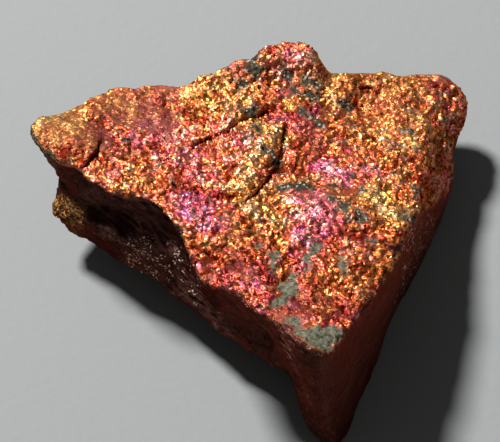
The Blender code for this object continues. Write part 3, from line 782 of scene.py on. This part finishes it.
# Where grains are caught along the ledge and under the rim, in plan.
GLITTER = [
    (-13.4, -2.0, -10.6, -3.4, 0.7, 1.0),
    (-10.6, -3.4, -8.0, -4.6, 0.8, 1.0),
    (-8.0, -4.6, -6.0, -7.6, 0.6, 0.6),
    (15.2, -5.8, 16.8, -3.8, 1.0, 1.0),
    (17.2, -2.0, 20.4, 3.0, 1.2, 0.45),
]
# Ribs of two sizes: how long, how wide and how high. The right wall's are fainter.
RIBS = ((3.2, 0.80, 0.16), (2.2, 0.42, 0.08))
FAINTER_AT_RIGHT = 0.3
# The grain fades out over this height above the spot on which the stone rests.
RESTING_EDGE = 0.5
WALL_GRAIN = ((0.9, 0.06), (0.5, 0.04))


def ribs(along):
    """Sharp ribs, of two sizes, that are drawn out along a bedding direction."""
    total = np.zeros(len(points))
    for length, width, height in RIBS:
        squeezed = drawn_out(points, along, length, width)
        total += height * (1.0 - 3.0 * np.abs(noise_at(squeezed, 1.0, 41.3)))
    return total


off_face = 1.0 - on_face
left_wall = off_face * ramp(-(broad[:, 0] * 0.71 + broad[:, 1] * 0.70), 0.1, 0.5)
right_wall = off_face * ramp(broad[:, 0] * 0.88 - broad[:, 1] * 0.45, 0.3, 0.7)
relief += left_wall * ribs(LEFT_BEDDING)
relief += FAINTER_AT_RIGHT * right_wall * ribs(RIGHT_BEDDING)
for size, height in WALL_GRAIN:
    relief += off_face * height * noise_at(points, size, 47.2)
relief *= ramp(points[:, 2], 0.0, RESTING_EDGE)
points = points + normals * relief[:, None]
points[:, 2] = np.maximum(points[:, 2], 0.0)
write_points(skin, points / TO_MILLIMETRES)


def keep_field(name, values, domain="POINT"):
    """Stores one value for each point or face of the skin, for its material to read."""
    field = skin.attributes.new(name, "FLOAT", domain)
    field.data.foreach_set("value", values.astype(np.float32))


corners = np.empty(len(skin.loops), dtype=np.int32)
skin.loops.foreach_get("vertex_index", corners)
corners = corners.reshape(-1, 3)
owner = grain[corners[:, 0]]
high = points[:, 2]
under_rim = ramp(-high, -10.2, -9.0) * ramp(broad[:, 2], -0.25, 0.10)
for name, values in {
    "tarnish": tarnish,
    "gangue": spread(gangue[:, None], 1)[:, 0],
    "matt": matt,
    "painted_shade": painted_shade * on_face,
    "bare": bare - 0.5 * ramp(-points[:, 1], 2.0, 12.0),
    "on_face": on_face,
    "gap": np.maximum(gap * coarse, 0.0),
    "crack": crack,
    "left_wall": left_wall,
    "right_wall": right_wall,
    "glitter": 0.03 + 0.97 * patch(plan, GLITTER),
    "gold_wall": patch(plan, GOLD_WALL) * under_rim * off_face,
    "green_wall": patch(plan, GREEN_WALL) * off_face * ramp(high, 11.0, 12.5),
    "bounce_lit_wall": patch(plan, BOUNCE_LIT_WALL) * off_face * ramp(high, 9.8, 10.6),
    "shaded_ledges": patch(plan, SHADED_LEDGES) * off_face,
    "valley_shade": valley_shade * on_face,
    "pale_gangue": ramp(-points[:, 1], 3.0, 8.0),
}.items():
    keep_field(name, values)
keep_field("tone", tones[owner], "FACE")
keep_field("hue", hues[owner], "FACE")
skin.polygons.foreach_set("use_smooth", np.ones(len(skin.polygons), dtype=bool))
skin.update()

# The look of the ore
# Chalcopyrite and bornite, a brassy metal under a thin film of tarnish whose colour goes with
# its thickness. Between the grains a dark red is painted as shade, and the gangue is a dull grey
# green.
FILM = [
    (0.00, (0.92, 0.58, 0.11, 1.0)),
    (0.12, (1.00, 0.53, 0.12, 1.0)),
    (0.28, (1.00, 0.38, 0.10, 1.0)),
    (0.45, (0.97, 0.25, 0.07, 1.0)),
    (0.58, (0.95, 0.19, 0.12, 1.0)),
    (0.70, (0.90, 0.14, 0.19, 1.0)),
    (0.82, (0.92, 0.22, 0.46, 1.0)),
    (1.00, (0.66, 0.26, 0.66, 1.0)),
]
DEEP_RED = (0.16, 0.010, 0.004, 1.0)
BARE_GOLD = (1.0, 0.78, 0.47, 1.0)
BARE_COPPER = (1.0, 0.73, 0.62, 1.0)
MATT_BROWN = (0.30, 0.150, 0.065, 1.0)
MATT_MAUVE = (0.27, 0.105, 0.085, 1.0)
GAP_SHADE_RED = (0.110, 0.004, 0.001, 1.0)
GANGUE_DARK = (0.015, 0.017, 0.009, 1.0)
GANGUE_PALE = (0.158, 0.172, 0.120, 1.0)
GANGUE_GLINT = (0.62, 0.48, 0.36, 1.0)
# The wall's browns are dark partly as painted shade.
SHADED_WALL_DARK = (0.016, 0.004, 0.003, 1.0)
SHADED_WALL_BROWN = (0.085, 0.029, 0.022, 1.0)
WALL_BOUNCE_LIGHT = (0.18, 0.070, 0.055, 1.0)
WALL_PLAIN = (0.20, 0.050, 0.040, 1.0)
WALL_FIBRE = (0.23, 0.110, 0.085, 1.0)
LEDGE_SHADE = (0.018, 0.008, 0.006, 1.0)
WALL_GLINT = (0.90, 0.62, 0.50, 1.0)
GOLD_DARK = (0.030, 0.012, 0.004, 1.0)
GOLD_BRIGHT = (0.96, 0.50, 0.15, 1.0)
GREEN_DARK = (0.020, 0.016, 0.010, 1.0)
GREEN_PALE = (0.14, 0.12, 0.075, 1.0)
EDGE_TINT = (0.85, 0.38, 0.28, 1.0)
METALLIC = 0.97
ROUGHNESS = 0.41
# Chips of two sizes: how large they are, how far they tilt, and how wide the seam beside them is.
CHIPS = ((0.44, 0.46, 0.13), (0.24, 0.40, 0.16))
# On the walls and in the gangue chips tilt less, by these shares.
FLATTER_WALL = 0.6
FLATTER_GANGUE = 0.1
# The sides of a chip are bent: how many waves it has, and how far they reach, for its size.
BEND_WAVES = 0.8
BEND_REACH = 1.2
# The middle of a random colour, from which it is a step to any side.
MID_COLOUR = (0.5, 0.5, 0.5)
# Fibres of both walls: which way they run, their length and width, their field, and how strong.
FIBRES = (
    (LEFT_BEDDING, 1.9, 0.10, "left_wall", 1.0),
    (RIGHT_BEDDING, 4.0, 0.16, "right_wall", 0.5),
)
FURROW_DEPTH = 0.00012


def feed(tree, socket, value):
    """Gives a socket a value, or links it to the socket that the value comes from."""
    if isinstance(value, bpy.types.NodeSocket):
        tree.links.new(value, socket)
    else:
        socket.default_value = value


def calc(tree, operation, *values, clamp=False):
    """One sum on numbers or sockets."""
    made = tree.nodes.new("ShaderNodeMath")
    made.operation = operation
    made.use_clamp = clamp
    for socket, value in zip(made.inputs, values):
        feed(tree, socket, value)
    return made.outputs[0]


def plus(tree, base, value, share=1.0, clamp=False):
    """A share of one value on top of another."""
    return calc(tree, "MULTIPLY_ADD", value, share, base, clamp=clamp)


def rising(tree, value, start, gain):
    """From 0 at the start to 1, by the gain. With a negative gain it rises below the start."""
    return calc(tree, "MULTIPLY", calc(tree, "SUBTRACT", value, start), gain, clamp=True)


def lay_over(tree, below, above, share, strength=1.0):
    """One colour laid over another, by a share and the strength of the upper one."""
    if strength != 1.0:
        share = calc(tree, "MULTIPLY", share, strength)
    made = tree.nodes.new("ShaderNodeMix")
    made.data_type = "RGBA"
    for number, value in ((0, share), (6, below), (7, above)):
        feed(tree, made.inputs[number], value)
    return made.outputs[2]


def field(tree, name):
    """What the skin keeps under that name."""
    made = tree.nodes.new("ShaderNodeAttribute")
    made.attribute_name = name
    return made.outputs["Fac"]


def scaled(tree, vector, share):
    """A vector made longer or shorter."""
    made = tree.nodes.new("ShaderNodeVectorMath")
    made.operation = "SCALE"
    tree.links.new(vector, made.inputs[0])
    feed(tree, made.inputs["Scale"], share)
    return made.outputs[0]


def combined(tree, operation, *vectors):
    """One step of vector arithmetic."""
    made = tree.nodes.new("ShaderNodeVectorMath")
    made.operation = operation
    for socket, vector in zip(made.inputs, vectors):
        feed(tree, socket, vector)
    return made.outputs["Value" if operation == "DOT_PRODUCT" else "Vector"]


def millimetres(tree):
    """The place on the stone, in millimetres."""
    return scaled(tree, tree.nodes.new("ShaderNodeTexCoord").outputs["Object"], TO_MILLIMETRES)


def speck_noise(tree, size, detail=2.0):
    """Even noise from 0 to 1, with lumps of that size in millimetres."""
    made = tree.nodes.new("ShaderNodeTexNoise")
    tree.links.new(tree.nodes.new("ShaderNodeTexCoord").outputs["Object"], made.inputs["Vector"])
    made.inputs["Scale"].default_value = TO_MILLIMETRES / size
    made.inputs["Detail"].default_value = detail
    return made.outputs["Fac"]


def cells_of(tree, feature, place, scale):
    """Random cells: their colours, or how far their edge is."""
    made = tree.nodes.new("ShaderNodeTexVoronoi")
    made.feature = feature
    tree.links.new(place, made.inputs["Vector"])
    tree.links.new(scale, made.inputs["Scale"])
    return made.outputs


def new_group(name, inputs, outputs):
    """An empty node group with its named sockets, and its inside ends."""
    group = bpy.data.node_groups.new(name, "ShaderNodeTree")
    for label, value in inputs:
        kind = "NodeSocketVector" if isinstance(value, tuple) else "NodeSocketFloat"
        socket = group.interface.new_socket(label, in_out="INPUT", socket_type=kind)
        socket.default_value = value
    for label, kind in outputs:
        group.interface.new_socket(label, in_out="OUTPUT", socket_type=kind)
    given = group.nodes.new("NodeGroupInput").outputs
    out = group.nodes.new("NodeGroupOutput").inputs
    return group, given, out


def use_group(tree, group, **values):
    """A node group placed in a material, with its own values."""
    made = tree.nodes.new("ShaderNodeGroup")
    made.node_tree = group
    for name, value in values.items():
        feed(tree, made.inputs[name.replace("_", " ")], value)
    return made.outputs


def chip_group():
    """Chips of crystal: a tilted normal, a tone and a shade for each, and the seam beside it."""
    group, given, out = new_group(
        "crystal_chips",
        [("Size", 0.4), ("Tilt", 0.4), ("Seam Width", 0.1)],
        [
            ("Normal", "NodeSocketVector"),
            ("Tone", "NodeSocketFloat"),
            ("Shade", "NodeSocketFloat"),
            ("Seam", "NodeSocketFloat"),
        ],
    )
    place = millimetres(group)
    bend = group.nodes.new("ShaderNodeTexNoise")
    group.links.new(place, bend.inputs["Vector"])
    group.links.new(calc(group, "DIVIDE", BEND_WAVES, given["Size"]), bend.inputs["Scale"])
    bent = combined(group, "SUBTRACT", bend.outputs["Color"], MID_COLOUR)
    bent = scaled(group, bent, calc(group, "MULTIPLY", given["Size"], BEND_REACH))
    place = combined(group, "ADD", place, bent)
    scale = calc(group, "DIVIDE", 1.0, given["Size"])
    cells = cells_of(group, "F1", place, scale)
    rims = cells_of(group, "DISTANCE_TO_EDGE", place, scale)
    lean = combined(group, "SUBTRACT", cells["Color"], MID_COLOUR)
    lean = scaled(group, lean, calc(group, "MULTIPLY", given["Tilt"], 2.0))
    geometry = group.nodes.new("ShaderNodeNewGeometry")
    leaning = combined(group, "NORMALIZE", combined(group, "ADD", geometry.outputs["Normal"], lean))
    parts = group.nodes.new("ShaderNodeSeparateColor")
    group.links.new(cells["Color"], parts.inputs[0])
    near_rim = calc(group, "DIVIDE", rims["Distance"], given["Seam Width"], clamp=True)
    group.links.new(leaning, out["Normal"])
    group.links.new(parts.outputs[0], out["Tone"])
    group.links.new(parts.outputs[1], out["Shade"])
    group.links.new(calc(group, "SUBTRACT", 1.0, near_rim), out["Seam"])
    return group


def fibre_group():
    """Fine fibres along one bedding direction, from 0 in the furrows to 1 on the crests."""
    group, given, out = new_group(
        "bedding_fibres",
        [("Way", (1.0, 0.0, 0.0)), ("Length", 3.0), ("Width", 0.2)],
        [("Fibre", "NodeSocketFloat")],
    )
    place = millimetres(group)
    slow = combined(group, "DOT_PRODUCT", place, given["Way"])
    along = calc(group, "DIVIDE", 1.0, given["Length"])
    across = calc(group, "DIVIDE", 1.0, given["Width"])
    squeeze = calc(group, "SUBTRACT", along, across)
    drawn = scaled(group, given["Way"], calc(group, "MULTIPLY", slow, squeeze))
    strands = group.nodes.new("ShaderNodeTexNoise")
    strands.inputs["Scale"].default_value = 1.0
    strands.inputs["Detail"].default_value = 2.0
    group.links.new(
        combined(group, "ADD", scaled(group, place, across), drawn), strands.inputs["Vector"]
    )
    group.links.new(rising(group, strands.outputs["Fac"], start=0.50, gain=8.0), out["Fibre"])
    return group


finish = bpy.data.materials.new("tarnished_ore_finish")
finish.use_nodes = True
tree = finish.node_tree
tree.nodes.clear()
wall = calc(tree, "SUBTRACT", 1.0, field(tree, "on_face"))
chip_form = chip_group()
sizes = []
for size, tilt, seam_width in CHIPS:
    leaning = plus(tree, tilt, wall, share=-FLATTER_WALL * tilt)
    leaning = plus(tree, leaning, field(tree, "gangue"), share=-FLATTER_GANGUE * tilt)
    sizes.append(use_group(tree, chip_form, Size=size, Tilt=leaning, Seam_Width=seam_width))
# Small chips fill the matt places, the gangue and the walls, and mix with large ones elsewhere.
small = rising(tree, speck_noise(tree, 0.9), start=0.50, gain=9.0)
for name in ("matt", "gangue"):
    small = plus(tree, small, field(tree, name), share=2.0, clamp=True)
small = plus(tree, small, wall, clamp=True)
small = calc(tree, "GREATER_THAN", small, 0.5)
large = calc(tree, "SUBTRACT", 1.0, small)


def chosen_value(name):
    """What the chips say there, of the size that fills the place."""
    return plus(tree, calc(tree, "MULTIPLY", sizes[0][name], large), sizes[1][name], share=small)


tone = chosen_value("Tone")
shade = chosen_value("Shade")
seam = chosen_value("Seam")
facing = tree.nodes.new("ShaderNodeMix")
facing.data_type = "VECTOR"
tree.links.new(small, facing.inputs["Factor"])
tree.links.new(sizes[0]["Normal"], facing.inputs[4])
tree.links.new(sizes[1]["Normal"], facing.inputs[5])

# How thick the film is: its streak's, shifted for each grain and chip, and by a slow drift.
film_at = plus(tree, field(tree, "tarnish"), field(tree, "hue"), share=0.05)
film_at = plus(tree, film_at, calc(tree, "SUBTRACT", shade, 0.5), share=0.24)
drift = calc(tree, "SUBTRACT", speck_noise(tree, 1.6), 0.5)
film_at = plus(tree, film_at, drift, share=0.6)
film = tree.nodes.new("ShaderNodeValToRGB")
while len(film.color_ramp.elements) > 1:
    film.color_ramp.elements.remove(film.color_ramp.elements[-1])
film.color_ramp.elements[0].position = FILM[0][0]
film.color_ramp.elements[0].color = FILM[0][1]
for place, film_colour in FILM[1:]:
    film.color_ramp.elements.new(place).color = film_colour
tree.links.new(film_at, film.inputs["Fac"])
colour = film.outputs["Color"]
# Grains under thick film are a deep red, valleys are painted a deep red as shade, and bare ones
# show pale metal through it.
bloom = plus(tree, calc(tree, "MULTIPLY", tone, 0.65), field(tree, "tone"), share=0.35)
drift = calc(tree, "SUBTRACT", speck_noise(tree, 2.4), 0.5)
bloom = plus(tree, bloom, drift, share=0.45)
for name, share in (("bare", 0.25), ("valley_shade", -0.35), ("matt", -0.18)):
    bloom = plus(tree, bloom, field(tree, name), share=share)
thick_film_and_shade = rising(tree, bloom, start=0.34, gain=-3.5)
pale = rising(tree, bloom, start=0.48, gain=2.5)
redder = rising(tree, film_at, start=0.25, gain=3.0)
colour = lay_over(tree, colour, DEEP_RED, thick_film_and_shade, strength=0.85)
bare_metal = lay_over(tree, BARE_GOLD, BARE_COPPER, redder)
colour = lay_over(tree, colour, bare_metal, pale, strength=0.80)
# Matt places are browner, and mauve where the film is thicker.
dull = lay_over(tree, MATT_BROWN, MATT_MAUVE, redder)
colour = lay_over(tree, colour, dull, field(tree, "matt"), strength=0.65)
# Painted shade, a dark red, lies in the seams, gaps, cracks and hollows.
low = calc(tree, "MULTIPLY", seam, 0.85)
for name, share in (("gap", 0.8), ("crack", 1.3)):
    low = calc(tree, "MAXIMUM", low, calc(tree, "MULTIPLY", field(tree, name), share))
darkness = plus(tree, 0.65, thick_film_and_shade, share=0.6)
shaded_hollows = calc(tree, "MULTIPLY", field(tree, "painted_shade"), darkness)
low = calc(tree, "MAXIMUM", low, shaded_hollows, clamp=True)
colour = lay_over(tree, colour, GAP_SHADE_RED, low)
# Gangue is mottled from nearly black to grey green, and paler towards the front corner.
mottle = calc(tree, "MULTIPLY", tone, 0.75)
mottle = plus(tree, mottle, speck_noise(tree, 0.7, detail=3.0), share=0.7)
mottle = plus(tree, mottle, field(tree, "pale_gangue"), share=0.35)
mottle = rising(tree, mottle, start=0.70, gain=1.7)
gangue_colour = lay_over(tree, GANGUE_DARK, GANGUE_PALE, mottle)
# Single grains in it catch the light, and fewer do where it is pale.
fewer = plus(tree, 1.0, field(tree, "pale_gangue"), share=-0.9)
caught = calc(tree, "MULTIPLY", calc(tree, "GREATER_THAN", tone, 0.86), fewer)
gangue_colour = lay_over(tree, gangue_colour, GANGUE_GLINT, caught, strength=0.8)
colour = lay_over(tree, colour, gangue_colour, field(tree, "gangue"))
# The walls are dark brown, darkened further as painted shade, with pale fibres along the bedding
# and a dull glitter.
fibre_form = fibre_group()
fibre = 0.0
for way, length, width, where, share in FIBRES:
    way = way / np.linalg.norm(way)
    strands = use_group(tree, fibre_form, Way=way, Length=length, Width=width)["Fibre"]
    fibre = plus(tree, fibre, calc(tree, "MULTIPLY", strands, field(tree, where)), share=share)
frayed = rising(tree, speck_noise(tree, 2.6, detail=1.0), start=0.30, gain=3.2)
fibre = calc(tree, "MULTIPLY", fibre, frayed)
glitter = rising(tree, speck_noise(tree, 0.26, detail=1.0), start=0.57, gain=12.0)
glitter = calc(tree, "MULTIPLY", glitter, field(tree, "glitter"))
clusters = calc(tree, "GREATER_THAN", speck_noise(tree, 1.1, detail=1.0), 0.50)
glitter = calc(tree, "MULTIPLY", glitter, clusters)
wall_colour = lay_over(tree, SHADED_WALL_DARK, SHADED_WALL_BROWN, speck_noise(tree, 1.2, detail=4.0))
gold_grain = lay_over(tree, GOLD_DARK, GOLD_BRIGHT, calc(tree, "POWER", tone, 3.0))
green_grain = lay_over(tree, GREEN_DARK, GREEN_PALE, tone)
# Painted light and shade lie on the walls too: bounced light in the hollow, shade on the ledges.
for above, share, strength in (
    (WALL_BOUNCE_LIGHT, field(tree, "bounce_lit_wall"), 0.6),
    (WALL_PLAIN, field(tree, "right_wall"), 0.5),
    (WALL_FIBRE, fibre, 0.7),
    (LEDGE_SHADE, field(tree, "shaded_ledges"), 1.0),
    (WALL_GLINT, glitter, 1.0),
    (gold_grain, field(tree, "gold_wall"), 1.0),
    (green_grain, field(tree, "green_wall"), 1.0),
):
    wall_colour = lay_over(tree, wall_colour, above, share, strength)
colour = lay_over(tree, colour, wall_colour, wall)

metal = plus(tree, METALLIC, field(tree, "gangue"), share=-0.85)
metal = plus(tree, metal, field(tree, "matt"), share=-0.15)
metal = plus(tree, metal, wall, share=-0.05, clamp=True)
rough = plus(tree, ROUGHNESS, shade, share=0.18)
rough = plus(tree, rough, field(tree, "gangue"), share=0.15)
rough = plus(tree, rough, field(tree, "matt"), share=0.10, clamp=True)
furrows = tree.nodes.new("ShaderNodeBump")
furrows.inputs["Distance"].default_value = FURROW_DEPTH
tree.links.new(fibre, furrows.inputs["Height"])
tree.links.new(facing.outputs[1], furrows.inputs["Normal"])
surface = tree.nodes.new("ShaderNodeBsdfPrincipled")
surface.inputs["Specular Tint"].default_value = EDGE_TINT
tree.links.new(colour, surface.inputs["Base Color"])
tree.links.new(metal, surface.inputs["Metallic"])
tree.links.new(rough, surface.inputs["Roughness"])
tree.links.new(furrows.outputs["Normal"], surface.inputs["Normal"])
output = tree.nodes.new("ShaderNodeOutputMaterial")
tree.links.new(surface.outputs[0], output.inputs["Surface"])
skin.materials.clear()
skin.materials.append(finish)
skin.polygons.foreach_set("material_index", np.zeros(len(skin.polygons), dtype=np.int32))
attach(ore, "root")
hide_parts("peacock_ore")

# The sheet under the stone
# Plain pale paper with a faint felt grain. It lies flat and reaches far out of the picture, and
# it is no part of the stone.
SHEET_SIZE = 1.6
PAPER_COLOUR = (0.271, 0.280, 0.277, 1.0)
PAPER_ROUGHNESS = 0.9
PAPER_SHINE = 0.2
FELT_SIZE = 1.1
FELT_DEPTH = 0.00012
FELT_STRENGTH = 0.35
sheet_form = bmesh.new()
bmesh.ops.create_grid(sheet_form, x_segments=1, y_segments=1, size=SHEET_SIZE / 2.0)
sheet_mesh = bpy.data.meshes.new("paper_sheet")
sheet_form.to_mesh(sheet_mesh)
sheet_form.free()
sheet = bpy.data.objects.new("paper_sheet", sheet_mesh)
bpy.context.scene.collection.objects.link(sheet)
paper = bpy.data.materials.new("pale_paper")
paper.use_nodes = True
paper_tree = paper.node_tree
paper_surface = paper_tree.nodes["Principled BSDF"]
paper_surface.inputs["Base Color"].default_value = PAPER_COLOUR
paper_surface.inputs["Roughness"].default_value = PAPER_ROUGHNESS
paper_surface.inputs["Specular IOR Level"].default_value = PAPER_SHINE
felt = paper_tree.nodes.new("ShaderNodeBump")
felt.inputs["Strength"].default_value = FELT_STRENGTH
felt.inputs["Distance"].default_value = FELT_DEPTH
paper_tree.links.new(speck_noise(paper_tree, FELT_SIZE, detail=3.0), felt.inputs["Height"])
paper_tree.links.new(felt.outputs["Normal"], paper_surface.inputs["Normal"])
sheet_mesh.materials.append(paper)

# Light and camera
# A soft lamp high at the back left, a dim even room, and the camera that looks down at the
# stone from the front.
TO_LAMP = Vector((-0.405, 0.405, 0.82)).normalized()
LAMP_DISTANCE = 0.8
LAMP_SIZE = 0.14
LAMP_POWER = 12.0
ROOM_LIGHT = 0.09
LOOK_AT = Vector((-0.000556, 0.001877, 0.008))
LOOK_DOWN = math.radians(55.0)
CAMERA_DISTANCE = 0.240
CAMERA_BACK_WIDTH = 36.0
CAMERA_LENS = 156.56
NEAREST_SEEN = 0.001

lamp_data = bpy.data.lights.new("soft_lamp", "AREA")
lamp_data.shape = "DISK"
lamp_data.size = LAMP_SIZE
lamp_data.energy = LAMP_POWER
lamp = bpy.data.objects.new("soft_lamp", lamp_data)
bpy.context.scene.collection.objects.link(lamp)
lamp.location = TO_LAMP * LAMP_DISTANCE
lamp.rotation_euler = TO_LAMP.to_track_quat("Z", "Y").to_euler()
room = bpy.data.worlds.new("dim_room")
room.use_nodes = True
room.node_tree.nodes["Background"].inputs["Color"].default_value = (1.0, 1.0, 1.0, 1.0)
room.node_tree.nodes["Background"].inputs["Strength"].default_value = ROOM_LIGHT
bpy.context.scene.world = room

camera_data = bpy.data.cameras.new("camera")
camera_data.sensor_width = CAMERA_BACK_WIDTH
camera_data.lens = CAMERA_LENS
camera_data.clip_start = NEAREST_SEEN
camera = bpy.data.objects.new("camera", camera_data)
bpy.context.scene.collection.objects.link(camera)
back_and_up = Vector((0.0, -math.cos(LOOK_DOWN), math.sin(LOOK_DOWN)))
camera.location = LOOK_AT + CAMERA_DISTANCE * back_and_up
camera.rotation_euler = (math.pi / 2.0 - LOOK_DOWN, 0.0, 0.0)
bpy.context.scene.camera = camera
bpy.context.scene.view_settings.view_transform = "Standard"
